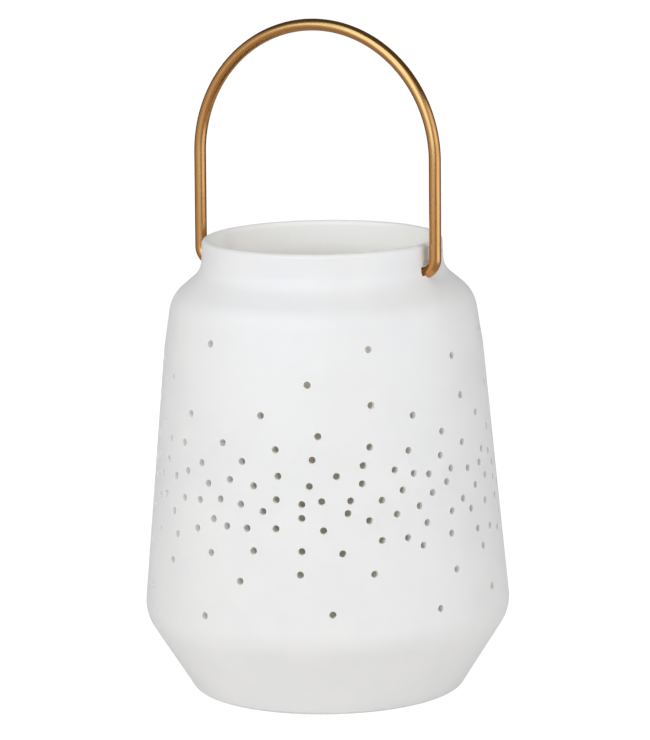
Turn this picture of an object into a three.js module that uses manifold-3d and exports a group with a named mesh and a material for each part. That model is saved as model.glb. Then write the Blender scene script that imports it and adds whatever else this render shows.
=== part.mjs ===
// Pierced porcelain lantern with a swinging wire bail.
// Millimetres, +Z up. The origin is the centre of the foot, on the surface that the lantern stands on.
// The bail's hinge line runs along X, and the stencil of pierced holes faces between -Y and +X.
import * as THREE from 'three';
import { mergeGeometries, mergeVertices } from 'three/addons/utils/BufferGeometryUtils.js';
import Module from 'manifold-3d';

// Body: radius of each corner of the outside, before its edge is rounded
const footRadius = 56.5;
const bellyRadius = 77.3;
const shoulderRadius = 66.8;
const collarRadius = 63.5;
const neckRadius = 50.7;
const rimRadius = 50.3;

// Body: height of each stretch, from the foot up to the rim
const flareHeight = 33;
const wallHeight = 112.4;
const shoulderHeight = 21.4;
const collarHeight = 10.8;
const neckHeight = 13.4;

// Body: rounding of each corner
const footRound = 3.9;
const bellyRound = 17;
const shoulderRound = 37;
const collarRound = 15;
const neckRootRound = 10.2;
const floorRound = 16;

// Body: thickness
const wallThickness = 4;
const floorThickness = 5;

// Pierced holes, made with a slightly tapered pin, and where the middle of the stencil faces, from -Y towards +X
const pierceDiameter = 2.8;
const pinTaperLength = 40;
const stencilFacing = 32;

// Bail of round wire, loose in two holes through the neck. It hangs off centre, nearer the neck on the +X side,
// where the line through the holes is also a little higher.
const wireDiameter = 5;
const handleHoleDiameter = 8.4;
const handleHoleBelowRim = 11.6;
const handleLineTilt = 1.1;
const holeClearance = 0.3;
const nearLegGap = 1.4;
const farLegGap = 7.5;
const bendRadius = 6.2;
const legHeight = 46.2;
const archRise = 54.9;
const endInsideNeck = 7;
const bailLean = 2.7;

// Facets
const bodySides = 36;
const arcStep = THREE.MathUtils.degToRad(20);
const rimSteps = 5;
const pierceSides = 6;
const handleHoleSides = 20;
const wireSides = 12;
const bendSteps = 6;
const archSteps = 40;

// The stencil of pierced holes: per cent of the way up the wall from belly corner to shoulder corner, then the
// bearings of the holes in that row, in degrees from the middle of the stencil. It covers half a turn and is used
// twice, this many degrees apart, so that no hole shows another in the far wall from the photograph's side.
const stencilTurn = 177;
const stencilRepeats = 2;
const stencil = [
  [108, [-45]],
  [107.5, [16, 80]],
  [101.5, [52]],
  [97.5, [-84]],
  [95.5, [-6]],
  [92.5, [-67.5]],
  [87.5, [16, 78]],
  [86.5, [55]],
  [84, [-22.5]],
  [82.5, [31.5, -83]],
  [81.5, [-53]],
  [78.5, [64.5]],
  [77, [-2.5]],
  [75.5, [-73, 86]],
  [75, [43.5]],
  [73, [-37]],
  [72.5, [15]],
  [72, [-17]],
  [71.5, [74]],
  [70.5, [-65.5, -56]],
  [70, [29]],
  [69.5, [53.5, -80]],
  [68.5, [-4.5]],
  [67, [-29]],
  [66.5, [42, 82]],
  [66, [12.5]],
  [64.5, [-46, 66.5, -88]],
  [63.5, [-74, 23.5]],
  [62.5, [-66.5, -16, 3.5, 73]],
  [61.5, [30.5]],
  [61, [46.5]],
  [60.5, [-53, 36.5, -82, 84]],
  [60, [-33.5, 63.5]],
  [59.5, [12, 55.5]],
  [59, [-5.5]],
  [58.5, [-24.5]],
  [57.5, [-60, -42.5, 77]],
  [56.5, [-71, 44]],
  [56, [26]],
  [54.5, [67.5, -79]],
  [54, [-16.5]],
  [53.5, [-1.5, 8, 37.5, 85, -86]],
  [53, [18.5]],
  [52.5, [-37, -8, 59.5]],
  [52, [76]],
  [51.5, [-29]],
  [51, [-46]],
  [50.5, [-54]],
  [49.5, [-66.5, -21, 32]],
  [49, [7, 51.5]],
  [48.5, [82]],
  [48, [-72]],
  [47.5, [-8, 23.5, -83]],
  [46, [14]],
  [45.5, [45.5, 65.5]],
  [45, [-39.5, 76]],
  [44.5, [-60, 55.5]],
  [43.5, [-16.5, -78, 87]],
  [43, [-34, -1, -26.5, 34.5]],
  [40.5, [-46.5]],
  [38.5, [18, 27, 80]],
  [37.5, [44.5, -85]],
  [36.5, [-57, 58.5]],
  [35.5, [-69.5, -8, 67.5]],
  [35, [-24, 32.5]],
  [34.5, [5]],
  [33, [75]],
  [32.5, [-40]],
  [29.5, [61, -80]],
  [27, [-8.5]],
  [26.5, [-59, 15, 85]],
  [24, [45.5]],
  [23.5, [-28.5]],
  [13.5, [-74, 64.5]],
  [12.5, [1.5]],
  [11, [37.5]],
  [9, [-41.5]],
  [8.5, [86]],
];

const porcelainMaterial = new THREE.MeshStandardMaterial({ color: 0xebebe9, roughness: 0.75, metalness: 0 });
const brassMaterial = new THREE.MeshStandardMaterial({ color: 0xc08a45, roughness: 0.32, metalness: 1 });

const wasm = await Module();
wasm.setup();

// A closed solid from a geometry: shared corners merged, faces without area dropped
function toSolid(geometry) {
  const bare = geometry.clone();
  bare.deleteAttribute('normal');
  bare.deleteAttribute('uv');
  const merged = mergeVertices(bare, 1e-4);
  const corners = merged.index.array;
  const kept = [];
  for (let i = 0; i < corners.length; i += 3) {
    const [a, b, c] = corners.slice(i, i + 3);
    if (a !== b && b !== c && c !== a) kept.push(a, b, c);
  }
  const vertProperties = new Float32Array(merged.attributes.position.array);
  const triVerts = new Uint32Array(kept);
  return new wasm.Manifold(new wasm.Mesh({ numProp: 3, vertProperties, triVerts }));
}

function toGeometry(solid) {
  const mesh = solid.getMesh();
  const geometry = new THREE.BufferGeometry();
  geometry.setAttribute('position', new THREE.BufferAttribute(mesh.vertProperties, 3));
  geometry.setIndex(new THREE.BufferAttribute(mesh.triVerts, 1));
  geometry.computeVertexNormals();
  return geometry;
}

// The point where the lines a-b and c-d cross
function crossing(a, b, c, d) {
  const along = b.clone().sub(a);
  const across = d.clone().sub(c);
  const share = c.clone().sub(a).cross(across) / along.cross(across);
  return a.clone().addScaledVector(along, share);
}

// Rounds the inner corners of an open outline. An arc reaches at most half way to the next corner.
function roundCorners(corners) {
  const outline = [corners[0].point];
  for (let i = 1; i < corners.length - 1; i++) {
    const { point, round } = corners[i];
    const back = corners[i - 1].point.clone().sub(point);
    const ahead = corners[i + 1].point.clone().sub(point);
    const room = Math.min(back.length(), ahead.length()) / 2;
    const halfAngle = back.angleTo(ahead) / 2;
    const reach = Math.min(round / Math.tan(halfAngle), room);
    const start = point.clone().addScaledVector(back.normalize(), reach);
    const toCentre = back.clone().add(ahead.normalize()).setLength(reach / Math.cos(halfAngle));
    const centre = point.clone().add(toCentre);
    const turn = (Math.PI - 2 * halfAngle) * Math.sign(ahead.cross(back));
    const steps = Math.ceil(Math.abs(turn) / arcStep);
    for (let k = 0; k <= steps; k++) {
      outline.push(start.clone().rotateAround(centre, turn * k / steps));
    }
  }
  outline.push(corners.at(-1).point);
  return outline;
}

const at = (radius, height) => new THREE.Vector2(radius, height);

// Heights of the corners above the foot
const shoulderAt = flareHeight + wallHeight;
const collarAt = shoulderAt + shoulderHeight;
const neckRootAt = collarAt + collarHeight;
const rimAt = neckRootAt + neckHeight;

// The outside of the wall, from the middle of the foot to the rim
const outside = [
  { point: at(0, 0) },
  { point: at(footRadius, 0), round: footRound },
  { point: at(bellyRadius, flareHeight), round: bellyRound },
  { point: at(shoulderRadius, shoulderAt), round: shoulderRound },
  { point: at(collarRadius, collarAt), round: collarRound },
  { point: at(neckRadius, neckRootAt), round: neckRootRound },
  { point: at(rimRadius, rimAt) },
];

// The inside: the floor, then each line of the outside moved in by the wall. Roundings shrink by the wall where the
// outside bulges and grow by it at the hollow neck root.
function inside() {
  const lines = [[at(0, floorThickness), at(footRadius, floorThickness)]];
  for (let i = 1; i < outside.length - 1; i++) {
    const from = outside[i].point;
    const to = outside[i + 1].point;
    const inwards = to.clone().sub(from).rotateAround(at(0, 0), Math.PI / 2).setLength(wallThickness);
    lines.push([from.clone().add(inwards), to.clone().add(inwards)]);
  }
  const rounds = [
    floorRound,
    bellyRound - wallThickness,
    shoulderRound - wallThickness,
    collarRound - wallThickness,
    neckRootRound + wallThickness,
  ];
  const corners = rounds.map((round, i) => ({ point: crossing(...lines[i], ...lines[i + 1]), round }));
  return [{ point: at(0, floorThickness) }, ...corners, { point: at(rimRadius - wallThickness, rimAt - wallThickness / 2) }];
}

// The whole section, closed on the axis. The rim is a half round as wide as the wall.
function bodySection() {
  const lip = wallThickness / 2;
  const rim = new THREE.Path().absarc(rimRadius - lip, rimAt - lip, lip, 0, Math.PI, false);
  const up = roundCorners(outside).slice(0, -1);
  const down = roundCorners(inside()).slice(0, -1).reverse();
  return [...up, ...rim.getPoints(rimSteps), ...down];
}

// The point of the outside at a height, and how far the wall leans in there
function wallAt(height) {
  const outline = roundCorners(outside);
  const i = outline.findIndex((point) => point.y > height);
  const rise = outline[i].clone().sub(outline[i - 1]);
  const point = outline[i - 1].clone().addScaledVector(rise, (height - outline[i - 1].y) / rise.y);
  return { point, lean: Math.atan2(-rise.x, rise.y) };
}

// One pin for each hole of the stencil, square to the wall, at its full diameter in the middle of the wall
function piercingPins() {
  const pinLength = pinTaperLength + wallThickness;
  const pinRadius = pierceDiameter / 2 * pinLength / pinTaperLength;
  const pins = [];
  for (const [percent, bearings] of stencil) {
    const { point, lean } = wallAt(flareHeight + wallHeight * percent / 100);
    for (let repeat = 0; repeat < stencilRepeats; repeat++) {
      const facing = stencilFacing + stencilTurn * repeat;
      for (const bearing of bearings) {
        const pin = new THREE.ConeGeometry(pinRadius, pinLength, pierceSides).rotateZ(Math.PI / 2);
        pin.translate((wallThickness - pinLength) / 2, 0, 0).rotateY(-lean).translate(point.x, 0, point.y);
        pins.push(pin.rotateZ(THREE.MathUtils.degToRad(facing + bearing - 90)));
      }
    }
  }
  return mergeGeometries(pins);
}

const handleHoleAt = rimAt - handleHoleBelowRim;
const handleTilt = THREE.MathUtils.degToRad(handleLineTilt);

function handleHolePin() {
  const radius = handleHoleDiameter / 2;
  const pin = new THREE.CylinderGeometry(radius, radius, 3 * neckRadius, handleHoleSides);
  return pin.rotateZ(Math.PI / 2).rotateY(-handleTilt).translate(0, 0, handleHoleAt);
}

function porcelainBody() {
  const turned = new THREE.LatheGeometry(bodySection(), bodySides).rotateX(Math.PI / 2);
  const pierced = toSolid(turned).subtract(toSolid(handleHolePin())).subtract(toSolid(piercingPins()));
  const body = new THREE.Mesh(toGeometry(pierced), porcelainMaterial);
  body.name = 'porcelain_body';
  return body;
}

// The wire's centre line from end to end, in the bail's own plane: X along the hinge line, Z up from it.
// Each stretch takes its own number of steps, so a straight leg takes one.
class WireLine extends THREE.Curve {
  constructor() {
    super();
    const wireRadius = wireDiameter / 2;
    const nearX = neckRadius + nearLegGap + wireRadius;
    const farX = -neckRadius - farLegGap - wireRadius;
    const endX = neckRadius - wallThickness - endInsideNeck;
    const middleX = (nearX + farX) / 2;
    const archRadius = (nearX - farX) / 2;
    const line = (...ends) => new THREE.LineCurve(at(...ends[0]), at(...ends[1]));
    const bend = (x, from, to) => new THREE.EllipseCurve(x, bendRadius, bendRadius, bendRadius, from, to, false);
    this.stretches = [
      { curve: line([endX, 0], [nearX - bendRadius, 0]), steps: 1 },
      { curve: bend(nearX - bendRadius, -Math.PI / 2, 0), steps: bendSteps },
      { curve: line([nearX, bendRadius], [nearX, legHeight]), steps: 1 },
      { curve: new THREE.EllipseCurve(middleX, legHeight, archRadius, archRise, 0, Math.PI, false), steps: archSteps },
      { curve: line([farX, legHeight], [farX, bendRadius]), steps: 1 },
      { curve: bend(farX + bendRadius, Math.PI, 1.5 * Math.PI), steps: bendSteps },
      { curve: line([farX + bendRadius, 0], [-endX, 0]), steps: 1 },
    ];
    this.steps = this.stretches.reduce((sum, stretch) => sum + stretch.steps, 0);
  }

  getPoint(t, target = new THREE.Vector3()) {
    let step = t * this.steps;
    let i = 0;
    while (i < this.stretches.length - 1 && step > this.stretches[i].steps) {
      step -= this.stretches[i].steps;
      i++;
    }
    const point = this.stretches[i].curve.getPoint(step / this.stretches[i].steps);
    return target.set(point.x, 0, point.y);
  }

  getUtoTmapping(u) {
    return u;
  }
}

function wireBail() {
  const centreLine = new WireLine();
  const section = new THREE.Shape().absarc(0, 0, wireDiameter / 2, 0, 2 * Math.PI, false);
  const geometry = new THREE.ExtrudeGeometry(section, {
    steps: centreLine.steps,
    curveSegments: wireSides / 2,
    bevelEnabled: false,
    extrudePath: centreLine,
  });
  const bail = new THREE.Mesh(geometry, brassMaterial);
  bail.name = 'wire_bail';
  return bail;
}

// The wire's ends lie on the bottom of the handle holes, and the bail leans a little from upright, towards +Y
const hinge = new THREE.Group();
hinge.position.z = handleHoleAt - handleHoleDiameter / 2 + holeClearance + wireDiameter / 2;
hinge.rotation.set(THREE.MathUtils.degToRad(-bailLean), -handleTilt, 0, 'YXZ');
hinge.add(wireBail());

const lantern = new THREE.Group();
lantern.add(porcelainBody(), hinge);

export default lantern;
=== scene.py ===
import math

import bmesh
import bpy
from mathutils import Matrix, Vector


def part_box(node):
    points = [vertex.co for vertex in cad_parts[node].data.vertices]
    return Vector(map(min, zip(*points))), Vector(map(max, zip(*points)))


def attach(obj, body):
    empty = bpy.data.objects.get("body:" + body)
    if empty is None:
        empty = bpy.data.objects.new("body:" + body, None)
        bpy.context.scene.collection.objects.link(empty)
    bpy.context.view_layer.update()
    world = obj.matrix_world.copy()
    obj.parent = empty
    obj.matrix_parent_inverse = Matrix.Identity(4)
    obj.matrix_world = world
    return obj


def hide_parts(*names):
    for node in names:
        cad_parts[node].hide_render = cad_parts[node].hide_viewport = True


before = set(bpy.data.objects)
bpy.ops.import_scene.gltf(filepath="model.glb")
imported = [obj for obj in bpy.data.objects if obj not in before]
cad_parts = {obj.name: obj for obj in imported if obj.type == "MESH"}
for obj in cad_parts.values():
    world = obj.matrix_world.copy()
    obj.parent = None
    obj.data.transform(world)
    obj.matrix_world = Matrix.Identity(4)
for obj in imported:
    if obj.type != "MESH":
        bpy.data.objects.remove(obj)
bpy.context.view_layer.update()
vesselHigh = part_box("porcelain_body")[1]
print("frame loaded")

mm = 0.001


# Camera, where the photograph was taken from

camera = {
    "target": Vector((0, 0, 0.0943)),  # about half way up the vessel
    "distance": 1.7856,
    "azimuth": 32.0,  # degrees from -Y towards +X
    "elevation": 11.545,
    "turnRight": 0.0002,  # radians, after aiming at the target
    "tiltUp": 0.0221,
    "roll": -0.0161,
    "lens": 206.2,
    "sensor": 36,
    "clip": (0.05, 50),
}


def placeCamera():
    azimuth, elevation = math.radians(camera["azimuth"]), math.radians(camera["elevation"])
    back = Vector((
        math.sin(azimuth) * math.cos(elevation),
        -math.cos(azimuth) * math.cos(elevation),
        math.sin(elevation),
    ))
    right = Vector((math.cos(azimuth), math.sin(azimuth), 0))
    up = back.cross(right)
    ahead = (-back + camera["turnRight"] * right + camera["tiltUp"] * up).normalized()
    right = ahead.cross(up).normalized()
    up = right.cross(ahead)
    turn = camera["roll"]
    right, up = math.cos(turn) * right + math.sin(turn) * up, math.cos(turn) * up - math.sin(turn) * right
    data = bpy.data.cameras.new("camera")
    data.lens = camera["lens"]
    data.sensor_width = camera["sensor"]
    data.clip_start, data.clip_end = camera["clip"]
    made = bpy.data.objects.new("camera", data)
    made.matrix_world = Matrix((right, up, -ahead)).transposed().to_4x4()
    made.location = camera["target"] + camera["distance"] * back
    bpy.context.scene.collection.objects.link(made)
    bpy.context.scene.camera = made


placeCamera()
print("camera placed")


# Shader maths: a Term wraps a socket whose value changes over the surface

class Term:
    def __init__(self, shader, socket):
        self.shader = shader
        self.socket = socket

    def math(self, operation, *values):
        return self.shader.node("ShaderNodeMath", {"operation": operation}, dict(enumerate(values)))

    def __add__(self, other):
        return self.math("ADD", self, other)

    def __sub__(self, other):
        return self.math("SUBTRACT", self, other)

    def __rsub__(self, other):
        return self.math("SUBTRACT", other, self)

    def __mul__(self, other):
        return self.math("MULTIPLY", self, other)

    def __truediv__(self, other):
        return self.math("DIVIDE", self, other)

    def __rtruediv__(self, other):
        return self.math("DIVIDE", other, self)

    def __pow__(self, other):
        return self.math("POWER", self, other)

    def __rpow__(self, other):
        return self.math("POWER", other, self)

    __radd__ = __add__
    __rmul__ = __mul__

    def between(self, low, high):  # 0 at low, 1 at high, smooth between them
        settings = {"interpolation_type": "SMOOTHSTEP"}
        return self.shader.node("ShaderNodeMapRange", settings, {"Value": self, "From Min": low, "From Max": high})


class Shader:
    def __init__(self, owner):
        owner.use_nodes = True
        self.tree = owner.node_tree
        self.tree.nodes.clear()

    def node(self, kind, settings=None, sockets=None, output=0):
        made = self.tree.nodes.new(kind)
        for name, value in (settings or {}).items():
            if name == "stops":
                ramp = made.color_ramp
                while len(ramp.elements) < len(value):
                    ramp.elements.new(1)
                for element, (place, colour) in zip(ramp.elements, value):
                    element.position = place
                    element.color = colour
            else:
                setattr(made, name, value)
        for name, value in (sockets or {}).items():
            socket = made.inputs[name]
            if isinstance(value, Term):
                self.tree.links.new(value.socket, socket)
            else:
                socket.default_value = value
        return Term(self, made.outputs[output]) if made.outputs else None

    def noise(self, vector, scale, detail=2.0):
        return self.node("ShaderNodeTexNoise", None, {"Vector": vector, "Scale": scale, "Detail": detail})

    def mix(self, factor, first, second):  # of two colours
        sockets = {0: factor, 6: first, 7: second}
        return self.node("ShaderNodeMix", {"data_type": "RGBA"}, sockets, 2)


def grey(level):
    return (level, level, level, 1)


# Porcelain: matt, unglazed and slightly mottled, with painted light (paler) inside the neck and painted shade
# (darker, warmer) deep inside and down the holes' walls

bisque = {
    "colour": (0.85, 0.842, 0.831, 1),
    "cool": (0.825, 0.817, 0.811, 1),  # in the faint clouds of the casting
    "neck": (0.95, 0.95, 0.94, 1),  # inside it, paler than the outside: painted light
    # painted shade: darker and warmer deep inside and down the holes' walls
    "inside": (0.84, 0.805, 0.715, 1),
    "neckFrom": 170 * mm,  # height down to which the inside keeps the neck's painted light
    "neckFade": 30 * mm,  # and how far below it the painted shade is full
    "wallDepth": (1.2 * mm, 3.6 * mm),  # below the outside, where the inside's painted light and shade start and where they are full, so the painted shade also runs down the holes' walls
    "cloudScale": 38,
    "cloudEdge": (0.35, 0.7),
    "grainScale": 2600,
    "grainDepth": 0.03 * mm,
    "waveScale": 60,
    "waveDepth": 0.12 * mm,
    "roughness": 0.58,
    "roughnessSpread": 0.1,
}

# Height and radius of the outside in mm, which tell the shader how deep in the wall a point lies
wallByHeight = [
    (0, 52), (5, 59), (33, 76.7), (45, 76.0), (145, 66.7), (163, 63.2), (172, 56), (178, 51.6), (191, 50.3),
]
wallSpan = 200, 100  # the height and the radius that stand for 1 in the ramp


def bisquePorcelain():
    material = bpy.data.materials.new("bisque_porcelain")
    shader = Shader(material)
    place = shader.node("ShaderNodeTexCoord", output="Object")
    x, y, z = (shader.node("ShaderNodeSeparateXYZ", None, {"Vector": place}, axis) for axis in range(3))
    radius = (x * x + y * y) ** 0.5
    highest, widest = wallSpan
    stops = [(height / highest, grey(width / widest)) for height, width in wallByHeight]
    ramp = shader.node("ShaderNodeValToRGB", {"stops": stops}, {0: z / (highest * mm)})
    # painted shade in the holes: deeper than the outside, the inside's painted colours take over
    inside = (ramp * (widest * mm) - radius).between(*bisque["wallDepth"])
    deep = (bisque["neckFrom"] - z).between(0, bisque["neckFade"])
    # painted light, paler in the neck, fading into painted shade, darker and warmer, deep inside
    paintedLightAndShadeInside = shader.mix(deep, bisque["neck"], bisque["inside"])
    cloud = shader.noise(place, bisque["cloudScale"], 3).between(*bisque["cloudEdge"])
    colour = shader.mix(inside, shader.mix(cloud, bisque["colour"], bisque["cool"]), paintedLightAndShadeInside)
    grain = shader.noise(place, bisque["grainScale"], 2)
    wave = shader.noise(place, bisque["waveScale"], 1)
    height = grain * bisque["grainDepth"] + wave * bisque["waveDepth"]
    bump = shader.node("ShaderNodeBump", None, {"Height": height, "Strength": 1.0, "Distance": 1.0})
    spread = bisque["roughnessSpread"]
    roughness = grain * spread + (bisque["roughness"] - spread / 2)
    sockets = {"Base Color": colour, "Roughness": roughness, "Normal": bump}
    shader.node("ShaderNodeOutputMaterial", None, {
        "Surface": shader.node("ShaderNodeBsdfPrincipled", None, sockets),
    })
    return material


# Vessel: one turned wall, pierced all round and holed twice through the neck for the wire

vessel = {
    "corners": [  # radius and height of each corner of the outside, in mm, and how round it is
        (56.5, 0, 3.9),
        (77.3, 33, 17),
        (66.8, 145.4, 37),
        (63.5, 166.8, 15),
        (50.7, 177.6, 10.2),
    ],
    "rim": (50.3, 191),
    "wall": 4,
    "floor": 5,
    "insideRounds": [16, 13, 33, 11, 14.2],  # of the inside's corners, from the floor up
    "turns": 240,  # facets round the vessel
    "arcStep": math.radians(3.5),
    "rowHeight": 7,  # of the facets along straight stretches
    "mergeWithin": 0.0005,
    "sharpAbove": 24,  # degrees between two facets
}

piercing = {
    "facing": 32,  # degrees from -Y towards +X of the stencil's middle
    "repeats": 2,
    "turn": 177,  # degrees from one to the next
    "base": 33,  # height of the stencil's 0 per cent, and how much higher its 100 per cent is
    "rise": 112.4,
    "profile": [(0.5, 2.0), (-0.05, 1.54), (-0.38, 1.42), (-5.2, 1.4)],  # distance outside the wall, radius
    "sides": 16,
}

# Per cent of the way up the wall, and the bearings of that row's holes in degrees from the stencil's middle
stencil = [
    (108, [-45]),
    (107.5, [16, 80]),
    (101.5, [52]),
    (97.5, [-84]),
    (95.5, [-6]),
    (92.5, [-67.5]),
    (87.5, [16, 78]),
    (86.5, [55]),
    (84, [-22.5]),
    (82.5, [31.5, -83]),
    (81.5, [-53]),
    (78.5, [64.5]),
    (77, [-2.5]),
    (75.5, [-73, 86]),
    (75, [43.5]),
    (73, [-37]),
    (72.5, [15]),
    (72, [-17]),
    (71.5, [74]),
    (70.5, [-65.5, -56]),
    (70, [29]),
    (69.5, [53.5, -80]),
    (68.5, [-4.5]),
    (67, [-29]),
    (66.5, [42, 82]),
    (66, [12.5]),
    (64.5, [-46, 66.5, -88]),
    (63.5, [-74, 23.5]),
    (62.5, [-66.5, -16, 3.5, 73]),
    (61.5, [30.5]),
    (61, [46.5]),
    (60.5, [-53, 36.5, -82, 84]),
    (60, [-33.5, 63.5]),
    (59.5, [12, 55.5]),
    (59, [-5.5]),
    (58.5, [-24.5]),
    (57.5, [-60, -42.5, 77]),
    (56.5, [-71, 44]),
    (56, [26]),
    (54.5, [67.5, -79]),
    (54, [-16.5]),
    (53.5, [-1.5, 8, 37.5, 85, -86]),
    (53, [18.5]),
    (52.5, [-37, -8, 59.5]),
    (52, [76]),
    (51.5, [-29]),
    (51, [-46]),
    (50.5, [-54]),
    (49.5, [-66.5, -21, 32]),
    (49, [7, 51.5]),
    (48.5, [82]),
    (48, [-72]),
    (47.5, [-8, 23.5, -83]),
    (46, [14]),
    (45.5, [45.5, 65.5]),
    (45, [-39.5, 76]),
    (44.5, [-60, 55.5]),
    (43.5, [-16.5, -78, 87]),
    (43, [-34, -1, -26.5, 34.5]),
    (40.5, [-46.5]),
    (38.5, [18, 27, 80]),
    (37.5, [44.5, -85]),
    (36.5, [-57, 58.5]),
    (35.5, [-69.5, -8, 67.5]),
    (35, [-24, 32.5]),
    (34.5, [5]),
    (33, [75]),
    (32.5, [-40]),
    (29.5, [61, -80]),
    (27, [-8.5]),
    (26.5, [-59, 15, 85]),
    (24, [45.5]),
    (23.5, [-28.5]),
    (13.5, [-74, 64.5]),
    (12.5, [1.5]),
    (11, [37.5]),
    (9, [-41.5]),
    (8.5, [86]),
]

neckHole = {
    "height": 179.4,  # of the line through both holes, half way between them
    "tilt": 1.1,  # degrees that this line rises towards +X
    "neck": 50.6,  # its outer radius there
    "profile": [  # distance outside the neck, radius
        (0.7, 4.9), (-0.08, 4.22), (-0.25, 4.11), (-0.55, 4.05),
        (-3.45, 4.05), (-3.75, 4.11), (-3.92, 4.22), (-4.7, 4.9),
    ],
    "sides": 48,
}


def planPoint(radius, height):
    return Vector((radius * mm, 0, height * mm))


def crossing(a, b, c, d):  # of the lines a-b and c-d in the section's plane
    along, across = b - a, d - c
    gap = c - a
    return a + along * ((gap.x * across.z - gap.z * across.x) / (along.x * across.z - along.z * across.x))


def insideCorners():
    corners = [planPoint(radius, height) for radius, height, _ in vessel["corners"]] + [planPoint(*vessel["rim"])]
    lines = [(planPoint(0, vessel["floor"]), planPoint(1, vessel["floor"]))]
    for low, high in zip(corners, corners[1:]):
        run = (high - low).normalized()
        inwards = Vector((-run.z, 0, run.x)) * vessel["wall"] * mm
        lines.append((low + inwards, high + inwards))
    points = [crossing(*first, *second) for first, second in zip(lines, lines[1:])]
    return list(zip(points, vessel["insideRounds"]))


def drawLine(bm, tip, end):  # extrudes the outline's tip to a point, in even rows
    start = tip.co.copy()
    rows = max(1, round((end - start).length / (vessel["rowHeight"] * mm)))
    for row in range(rows):
        tip = bmesh.ops.extrude_vert_indiv(bm, verts=[tip])["verts"][0]
        tip.co = start.lerp(end, (row + 1) / rows)
    return tip


def drawArc(bm, tip, centre, angle):  # spins the outline's tip about a centre
    steps = max(1, math.ceil(abs(angle) / vessel["arcStep"]))
    axis = (0, -1, 0)  # turns +X towards +Z
    spun = bmesh.ops.spin(bm, geom=[tip], cent=centre, axis=axis, angle=angle, steps=steps, use_duplicate=False)
    return [item for item in spun["geom_last"] if isinstance(item, bmesh.types.BMVert)][0]


def drawRounded(bm, tip, corners, end):  # through rounded corners to an end
    points = [tip.co.copy()] + [point for point, _ in corners] + [end]
    for before, (point, rounding), after in zip(points, corners, points[2:]):
        back, ahead = (before - point).normalized(), (after - point).normalized()
        half = back.angle(ahead) / 2
        reach = rounding * mm / math.tan(half)
        centre = point + (back + ahead).normalized() * (reach / math.sin(math.pi / 2 - half))
        side = 1 if ahead.x * back.z - ahead.z * back.x > 0 else -1
        tip = drawLine(bm, tip, point + back * reach)
        tip = drawArc(bm, tip, centre, side * (math.pi - 2 * half))
    return drawLine(bm, tip, end)


def turnVessel():
    bm = bmesh.new()
    lip = vessel["wall"] / 2
    rimRadius, rimHeight = vessel["rim"]
    tip = bmesh.ops.create_vert(bm, co=(0, 0, 0))["vert"][0]
    outside = [(planPoint(radius, height), rounding) for radius, height, rounding in vessel["corners"]]
    tip = drawRounded(bm, tip, outside, planPoint(rimRadius, rimHeight - lip))
    outline = sorted((vert.co.copy() for vert in bm.verts), key=lambda point: (point.z, point.x))  # of the outside
    tip = drawArc(bm, tip, planPoint(rimRadius - lip, rimHeight - lip), math.pi)
    drawRounded(bm, tip, insideCorners()[::-1], planPoint(0, vessel["floor"]))
    section = bm.verts[:] + bm.edges[:]
    bmesh.ops.spin(bm, geom=section, cent=(0, 0, 0), axis=(0, 0, 1), angle=2 * math.pi,
                   steps=vessel["turns"], use_merge=True, use_duplicate=False)
    within = vessel["mergeWithin"] * mm
    bmesh.ops.remove_doubles(bm, verts=bm.verts, dist=within)
    bmesh.ops.dissolve_degenerate(bm, edges=bm.edges, dist=within)
    bmesh.ops.recalc_face_normals(bm, faces=bm.faces)
    widest = max(math.hypot(vert.co.x, vert.co.y) for vert in bm.verts)
    fit = min(1, vesselHigh.x / widest)  # the CAD vessel has fewer facets round its widest line
    bmesh.ops.scale(bm, vec=(fit, fit, 1), verts=bm.verts)
    return bm, [Vector((point.x * fit, 0, point.z)) for point in outline]


def addPin(bm, profile, sides):  # a closed pin along +X, from its outer end inwards
    distance, radius = profile[0]
    ring = bmesh.ops.create_circle(bm, cap_ends=True, segments=sides, radius=radius * mm)["verts"]
    bmesh.ops.rotate(bm, cent=(0, 0, 0), matrix=Matrix.Rotation(math.pi / 2, 3, "Y"), verts=ring)
    bmesh.ops.translate(bm, vec=(distance * mm, 0, 0), verts=ring)
    edges = list({edge for vert in ring for edge in vert.link_edges})
    verts = list(ring)
    for distanceNext, radiusNext in profile[1:]:
        grown = bmesh.ops.extrude_edge_only(bm, edges=edges)["geom"]
        ring = [item for item in grown if isinstance(item, bmesh.types.BMVert)]
        edges = [item for item in grown if isinstance(item, bmesh.types.BMEdge)]
        share = radiusNext / radius
        bmesh.ops.scale(bm, vec=(1, share, share), verts=ring)
        bmesh.ops.translate(bm, vec=((distanceNext - distance) * mm, 0, 0), verts=ring)
        distance, radius = distanceNext, radiusNext
        verts += ring
    bmesh.ops.contextual_create(bm, geom=edges)
    return verts


def placePin(bm, geometry, matrix):
    copied = bmesh.ops.duplicate(bm, geom=geometry)["geom"]
    bmesh.ops.transform(bm, matrix=matrix, verts=[item for item in copied if isinstance(item, bmesh.types.BMVert)])


def wallAt(outline, height):  # the outside's radius there, and how far it leans in
    high = next(i for i, point in enumerate(outline) if point.z > height)
    low, top = outline[high - 1], outline[high]
    radius = low.x + (top.x - low.x) * (height - low.z) / (top.z - low.z)
    return radius, math.atan2(low.x - top.x, top.z - low.z)


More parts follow.
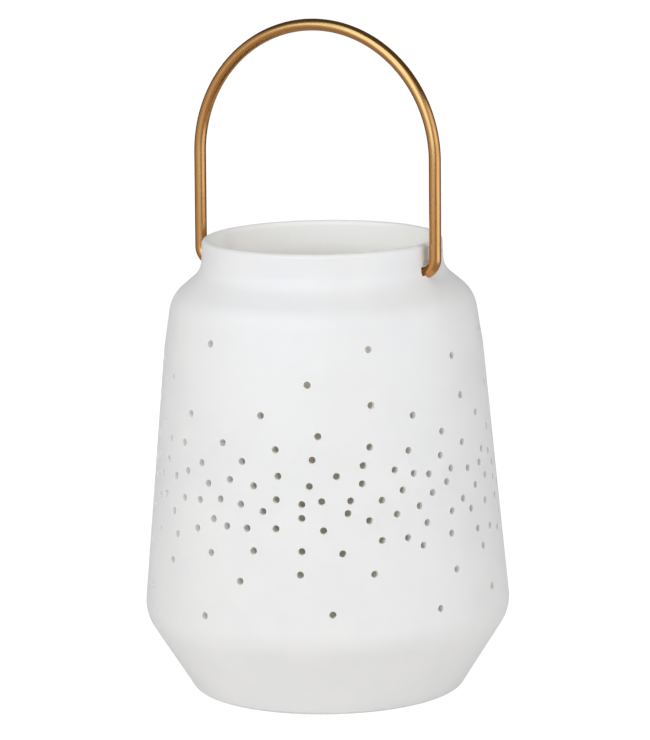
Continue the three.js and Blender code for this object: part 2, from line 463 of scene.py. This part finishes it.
def piercingPins(outline):
    bm = bmesh.new()
    verts = addPin(bm, piercing["profile"], piercing["sides"])
    pin = bm.verts[:] + bm.edges[:] + bm.faces[:]
    for percent, bearings in stencil:
        height = (piercing["base"] + piercing["rise"] * percent / 100) * mm
        radius, lean = wallAt(outline, height)
        stand = Matrix.Translation((radius, 0, height)) @ Matrix.Rotation(-lean, 4, "Y")
        for repeat in range(piercing["repeats"]):
            facing = piercing["facing"] + piercing["turn"] * repeat - 90
            for bearing in bearings:
                placePin(bm, pin, Matrix.Rotation(math.radians(facing + bearing), 4, "Z") @ stand)
    bmesh.ops.delete(bm, geom=verts, context="VERTS")
    bmesh.ops.recalc_face_normals(bm, faces=bm.faces)
    return bm


handleTilt = -math.radians(neckHole["tilt"])  # about +Y, of the neck's holes and of the bail in them


def neckPins():
    bm = bmesh.new()
    neck = neckHole["neck"] * mm
    for turn in (0, math.pi):
        verts = addPin(bm, neckHole["profile"], neckHole["sides"])
        for vert in verts:
            vert.co.x += math.sqrt(neck * neck - vert.co.y ** 2)  # the rings follow the neck's curve
        stand = Matrix.Translation((0, 0, neckHole["height"] * mm)) @ Matrix.Rotation(handleTilt, 4, "Y")
        bmesh.ops.transform(bm, matrix=stand @ Matrix.Rotation(turn, 4, "Z"), verts=verts)
    bmesh.ops.recalc_face_normals(bm, faces=bm.faces)
    return bm


def addObject(name, bm):
    mesh = bpy.data.meshes.new(name)
    bm.to_mesh(mesh)
    bm.free()
    made = bpy.data.objects.new(name, mesh)
    bpy.context.scene.collection.objects.link(made)
    return made


def cutAway(piece, bm):
    cutter = addObject("cutter", bm)
    modifier = piece.modifiers.new("cut", "BOOLEAN")
    modifier.operation = "DIFFERENCE"
    modifier.solver = "MANIFOLD"
    modifier.object = cutter
    solid = piece.evaluated_get(bpy.context.evaluated_depsgraph_get())
    cut = bpy.data.meshes.new_from_object(solid)
    piece.modifiers.clear()
    before, piece.data = piece.data, cut
    bpy.data.meshes.remove(before)
    bpy.data.objects.remove(cutter)


def smoothFaces(piece, sharpAbove):
    bm = bmesh.new()
    bm.from_mesh(piece.data)
    for face in bm.faces:
        face.smooth = True
    for edge in bm.edges:
        edge.smooth = edge.calc_face_angle(0) < math.radians(sharpAbove)
    bm.to_mesh(piece.data)
    bm.free()


def pierceVessel():
    bm, outline = turnVessel()
    piece = addObject("pierced_vessel", bm)
    cutAway(piece, neckPins())
    cutAway(piece, piercingPins(outline))
    smoothFaces(piece, vessel["sharpAbove"])
    piece.data.name = "pierced_vessel"
    piece.data.materials.clear()
    piece.data.materials.append(bisquePorcelain())
    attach(piece, "porcelain")
    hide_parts("porcelain_body")


pierceVessel()
print("vessel pierced")


# Brass: satin drawn wire, with fine streaks along it

brass = {
    "colour": (0.62, 0.295, 0.097, 1),
    "deep": (0.52, 0.235, 0.072, 1),  # in the streaks and stains
    "patternLength": 16 * mm,  # along the wire, that is as much to the noise as the wire's radius
    "streakStretch": 0.11,
    "streakScale": 9,
    "streakEdge": (0.35, 0.75),
    "streakShare": 0.5,  # of the way to the deep colour
    "streakDepth": 0.006 * mm,
    "stainStretch": 1.6,
    "stainScale": 0.9,
    "stainEdge": (0.45, 0.75),
    "stainShare": 0.35,
    "roughness": 0.23,
    "streakRoughness": 0.12,
    "stainRoughness": 0.06,
}


def satinBrass():
    material = bpy.data.materials.new("satin_brass")
    shader = Shader(material)
    wrap = shader.node("ShaderNodeUVMap", {"uv_map": "wrap"})
    around = shader.node("ShaderNodeSeparateXYZ", None, {"Vector": wrap}, 0) * (2 * math.pi)
    along = shader.node("ShaderNodeSeparateXYZ", None, {"Vector": wrap}, 1) / brass["patternLength"]
    ring = {0: around.math("COSINE", around), 1: around.math("SINE", around)}
    drawn = shader.node("ShaderNodeCombineXYZ", None, {**ring, 2: along * brass["streakStretch"]})
    patch = shader.node("ShaderNodeCombineXYZ", None, {**ring, 2: along * brass["stainStretch"]})
    streak = shader.noise(drawn, brass["streakScale"], 4)
    stain = shader.noise(patch, brass["stainScale"], 3).between(*brass["stainEdge"])
    deep = streak.between(*brass["streakEdge"]) * brass["streakShare"] + stain * brass["stainShare"]
    colour = shader.mix(deep, brass["colour"], brass["deep"])
    spread = brass["streakRoughness"]
    roughness = streak * spread + stain * brass["stainRoughness"] + (brass["roughness"] - spread / 2)
    bump = shader.node("ShaderNodeBump", None, {"Height": streak * brass["streakDepth"], "Distance": 1.0})
    sockets = {"Base Color": colour, "Metallic": 1.0, "Roughness": roughness, "Normal": bump}
    shader.node("ShaderNodeOutputMaterial", None, {
        "Surface": shader.node("ShaderNodeBsdfPrincipled", None, sockets),
    })
    return material


# Bail: one round wire, bent to an arch on two legs, with its ends through the neck

bail = {
    "wire": 4.99,  # a hair thinner than the CAD's wire, to stay in its box
    "sides": 32,
    "ends": 39.8,  # distance of each tip from the middle
    "near": 54.6,  # middle line of the leg nearer the neck, and of the other
    "far": -60.7,
    "bend": 6.2,
    "bendSteps": 14,
    "legHeight": 46.2,
    "archRise": 54.9,
    "archSteps": 96,
    "tipRound": 0.9,
    "tipAngles": (0, 25, 55, 90),  # degrees round each tip's edge
    "lean": 2.7,  # degrees from upright towards +Y
    "hinge": 178.0,
    "sharpAbove": 50,  # degrees between two facets
}


def wireLine():  # points along the wire in the bail's own plane, with the heading there in radians from +X
    near, far, bend, leg = bail["near"], bail["far"], bail["bend"], bail["legHeight"]
    middle, half, rise = (near + far) / 2, (near - far) / 2, bail["archRise"]
    line = [(bail["ends"], 0, 0)]
    for step in range(bail["bendSteps"] + 1):
        angle = math.pi / 2 * step / bail["bendSteps"]
        line.append((near - bend + bend * math.sin(angle), bend - bend * math.cos(angle), angle))
    for step in range(bail["archSteps"] + 1):
        angle = math.pi * step / bail["archSteps"]
        heading = math.atan2(rise * math.cos(angle), -half * math.sin(angle))
        line.append((middle + half * math.cos(angle), leg + rise * math.sin(angle), heading))
    for step in range(bail["bendSteps"] + 1):
        angle = math.pi / 2 * step / bail["bendSteps"]
        line.append((far + bend - bend * math.cos(angle), bend - bend * math.sin(angle), angle - math.pi / 2))
    line.append((-bail["ends"], 0, 0))
    return line


def station(x, z, heading):  # a frame whose Z runs along the wire
    along = Vector((math.cos(heading), 0, math.sin(heading)))
    side = Vector((0, 1, 0))
    turned = Matrix((side.cross(along), side, along)).transposed().to_4x4()
    return Matrix.Translation((x * mm, 0, z * mm)) @ turned


def wireStops():  # where each ring of the wire stands, and its share of the full radius
    radius, tip = bail["wire"] / 2, bail["tipRound"]
    line = wireLine()
    rounding = [(tip * (1 - math.cos(angle)), 1 - tip * (1 - math.sin(angle)) / radius)
                for angle in map(math.radians, bail["tipAngles"])]
    stops = [(station(line[0][0] + inwards, 0, 0), share) for inwards, share in rounding]
    stops += [(station(*point), 1) for point in line[1:-1]]
    stops += [(station(line[-1][0] - inwards, 0, 0), share) for inwards, share in rounding[::-1]]
    return stops


def bendWire():
    bm = bmesh.new()
    wrap = bm.loops.layers.uv.new("wrap")
    sides = bail["sides"]
    stops = wireStops()
    frameHere, share = stops[0]
    radius = bail["wire"] / 2 * mm * share
    ring = bmesh.ops.create_circle(bm, cap_ends=True, segments=sides, radius=radius)["verts"]
    bmesh.ops.transform(bm, matrix=frameHere, verts=ring)
    edges = list({edge for vert in ring for edge in vert.link_edges})
    along = 0
    for frameNext, shareNext in stops[1:]:
        grown = bmesh.ops.extrude_edge_only(bm, edges=edges)["geom"]
        ring = [item for item in grown if isinstance(item, bmesh.types.BMVert)]
        edges = [item for item in grown if isinstance(item, bmesh.types.BMEdge)]
        faces = {face for edge in edges for face in edge.link_faces}
        narrow = Matrix.Diagonal((shareNext / share, shareNext / share, 1, 1))
        bmesh.ops.transform(bm, matrix=frameNext @ narrow @ frameHere.inverted(), verts=ring)
        length = (frameNext.translation - frameHere.translation).length
        for face in faces:
            columns = []
            for loop in face.loops:
                stand = frameNext if loop.vert in ring else frameHere
                local = stand.inverted() @ loop.vert.co
                columns.append(round(math.atan2(local.y, local.x) / (2 * math.pi) * sides) % sides)
            seam = 0 in columns and sides - 1 in columns  # where the map goes on to 1 instead of back to 0
            for loop, column in zip(face.loops, columns):
                column = sides if seam and column == 0 else column
                loop[wrap].uv = (column / sides, along + length * (loop.vert in ring))
        frameHere, share = frameNext, shareNext
        along += length
    bmesh.ops.contextual_create(bm, geom=edges)
    hung = Matrix.Rotation(handleTilt, 3, "Y") @ Matrix.Rotation(-math.radians(bail["lean"]), 3, "X")
    bmesh.ops.rotate(bm, cent=(0, 0, 0), matrix=hung, verts=bm.verts)
    bmesh.ops.translate(bm, vec=(0, 0, bail["hinge"] * mm), verts=bm.verts)
    bmesh.ops.recalc_face_normals(bm, faces=bm.faces)
    return bm


def hangBail():
    piece = addObject("drawn_wire_bail", bendWire())
    smoothFaces(piece, bail["sharpAbove"])
    piece.data.materials.append(satinBrass())
    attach(piece, "bail")
    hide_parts("wire_bail")


hangBail()
print("bail hung")


# Studio: a pale floor and backdrop, a broad soft light in front at the left, two smaller ones at the right, one
# overhead and a weak even light all round. The metal mirrors glowing cards that stand close round the object.

studio = {
    "floorColour": (0.88, 0.88, 0.88, 1),
    "floorLight": 0.095,  # what a brightly lit floor gives back besides
    "floorShown": (0.16, 0.16, 0.16, 1),  # the part of the shown floor that takes the object's shadow
    "floorGlow": 0.99,
    "discSides": 96,
    "floorRadius": 12,
    "floorBelow": 0.05 * mm,
    "around": 0.26,  # level of the even light
    "lampsAim": 0.1,  # height of the point that they are turned to
    "lamps": [  # direction from the camera's bearing and height in degrees, distance, width, height, power
        (-36, 20, 2.2, 2.7, 2.7, 32.4),
        (60, 12, 2.2, 1.2, 2.2, 10.9),
        (80, 8, 2.2, 1.0, 1.6, 9.5),
        (0, 80, 2.2, 2.2, 2.2, 10.2),
    ],
    "innerLamp": (0.11, 0.07, 0.018),  # height, size and power of one inside, for the light through the porcelain
    "cardRadius": 0.6,
    "cardSpacing": 0.004,  # each stands this much nearer than the one before
    "cardTurn": 3,  # degrees of each flat stretch
    "levelCards": [("floor_card", -0.02 * mm, 0.46), ("ceiling_card", 1.3, 0.10)],  # name, height, level
    "cards": [  # from and to in degrees from the camera's bearing, low, high, colour
        (-180, 180, 0, 1.3, (0.10, 0.10, 0.10, 1)),
        (-117, -72, 0.02, 0.62, (0.56, 0.56, 0.56, 1)),
        (84, 111, 0, 0.53, (0.68, 0.68, 0.68, 1)),
        (-2, 36, 0.38, 1.16, (0.68, 0.68, 0.68, 1)),
        (3, 22, 0, 0.38, (0.38, 0.36, 0.34, 1)),
        (22, 36, 0, 0.38, (0.62, 0.62, 0.62, 1)),
        (-72, -45, 0, 0.29, (0.80, 0.80, 0.80, 1)),
        (-45, -22, 0, 0.23, (0.84, 0.84, 0.84, 1)),
        (-22, 3, 0, 0.23, (0.60, 0.60, 0.60, 1)),
        (36, 84, 0, 0.40, (1.42, 1.78, 2.30, 1)),
        (36, 84, 0.40, 0.63, (1.22, 1.45, 1.80, 1)),
        (-72, -45, 0.29, 1.2, (1.70, 2.60, 3.60, 1)),
        (-45, 3, 0.23, 1.2, (1.70, 2.60, 3.60, 1)),
    ],
}


def shownRays(shader):  # 1 where the camera, a mirror or glass looks
    path = [shader.node("ShaderNodeLightPath", output=name) for name in
            ("Is Camera Ray", "Is Glossy Ray", "Is Transmission Ray")]
    return path[0].math("MAXIMUM", path[0], path[1].math("MAXIMUM", path[1], path[2]))


def layFloor():
    bm = bmesh.new()
    bmesh.ops.create_circle(bm, cap_ends=True, segments=studio["discSides"], radius=studio["floorRadius"])
    bmesh.ops.translate(bm, vec=(0, 0, -studio["floorBelow"]), verts=bm.verts)
    floor = addObject("floor", bm)
    material = bpy.data.materials.new("pale_floor")
    shader = Shader(material)
    diffuse = shader.node("ShaderNodeBsdfDiffuse", None, {"Color": studio["floorColour"]})
    bounce = shader.node("ShaderNodeEmission", None, {"Color": grey(1), "Strength": studio["floorLight"]})
    plain = shader.node("ShaderNodeAddShader", None, {0: diffuse, 1: bounce})
    shadowed = shader.node("ShaderNodeBsdfDiffuse", None, {"Color": studio["floorShown"]})
    glow = shader.node("ShaderNodeEmission", None, {"Color": grey(1), "Strength": studio["floorGlow"]})
    shown = shader.node("ShaderNodeAddShader", None, {0: shadowed, 1: glow})
    surface = shader.node("ShaderNodeMixShader", None, {0: shownRays(shader), 1: plain, 2: shown})
    shader.node("ShaderNodeOutputMaterial", None, {"Surface": surface})
    floor.data.materials.append(material)


def lightAround():
    world = bpy.data.worlds.new("studio")
    bpy.context.scene.world = world
    shader = Shader(world)
    even = shader.node("ShaderNodeBackground", None, {"Color": grey(1), "Strength": studio["around"]})
    white = shader.node("ShaderNodeBackground", None, {"Color": grey(1), "Strength": 1.0})
    surface = shader.node("ShaderNodeMixShader", None, {0: shownRays(shader), 1: even, 2: white})
    shader.node("ShaderNodeOutputWorld", None, {"Surface": surface})


def towards(turn, height):  # a direction, from the camera's bearing and the horizon in degrees
    turn, height = math.radians(turn + camera["azimuth"]), math.radians(height)
    return Vector((math.sin(turn) * math.cos(height), -math.cos(turn) * math.cos(height), math.sin(height)))


def lightInside():
    height, size, power = studio["innerLamp"]
    data = bpy.data.lights.new("inner_lamp", "AREA")
    data.shape = "DISK"
    data.size = size
    data.energy = power
    lamp = bpy.data.objects.new("inner_lamp", data)
    lamp.location = (0, 0, height)
    lamp.rotation_euler = (math.pi, 0, 0)  # shines up
    lamp.visible_camera = False
    lamp.visible_glossy = False
    bpy.context.scene.collection.objects.link(lamp)


def hangLamps():
    for number, (turn, height, distance, width, tall, power) in enumerate(studio["lamps"]):
        data = bpy.data.lights.new(f"lamp_{number}", "AREA")
        data.shape = "ELLIPSE" if width == tall else "RECTANGLE"
        data.size = width
        data.size_y = tall
        data.energy = power
        lamp = bpy.data.objects.new(f"lamp_{number}", data)
        back = towards(turn, height)
        lamp.location = Vector((0, 0, studio["lampsAim"])) + back * distance
        lamp.rotation_mode = "QUATERNION"
        lamp.rotation_quaternion = back.to_track_quat("Z", "Y")
        lamp.visible_glossy = False  # its card stands in for it
        bpy.context.scene.collection.objects.link(lamp)


def glowCard(name, bm, colour):  # seen only in what mirrors it
    made = addObject(name, bm)
    material = bpy.data.materials.new(name)
    shader = Shader(material)
    glow = shader.node("ShaderNodeEmission", None, {"Color": colour, "Strength": 1.0})
    shader.node("ShaderNodeOutputMaterial", None, {"Surface": glow})
    made.data.materials.append(material)
    made.visible_camera = False
    made.visible_diffuse = False
    made.visible_transmission = False
    made.visible_shadow = False


def standCards():
    radius = studio["cardRadius"]
    for number, (start, end, low, high, colour) in enumerate(studio["cards"]):
        bm = bmesh.new()
        foot = towards(start, 0) * (radius - studio["cardSpacing"] * number)
        edge = [bmesh.ops.create_vert(bm, co=(foot.x, foot.y, z))["vert"][0] for z in (low, high)]
        line = bm.edges.new(edge)
        bmesh.ops.spin(bm, geom=edge + [line], cent=(0, 0, 0), axis=(0, 0, 1), angle=math.radians(end - start),
                       steps=math.ceil((end - start) / studio["cardTurn"]), use_duplicate=False)
        glowCard(f"card_{number}", bm, colour)
    for name, height, level in studio["levelCards"]:
        bm = bmesh.new()
        bmesh.ops.create_circle(bm, cap_ends=True, segments=studio["discSides"], radius=radius)
        bmesh.ops.translate(bm, vec=(0, 0, height), verts=bm.verts)
        glowCard(name, bm, grey(level))


layFloor()
lightAround()
hangLamps()
lightInside()
standCards()
bpy.context.scene.view_settings.view_transform = "Standard"
print("studio lit")
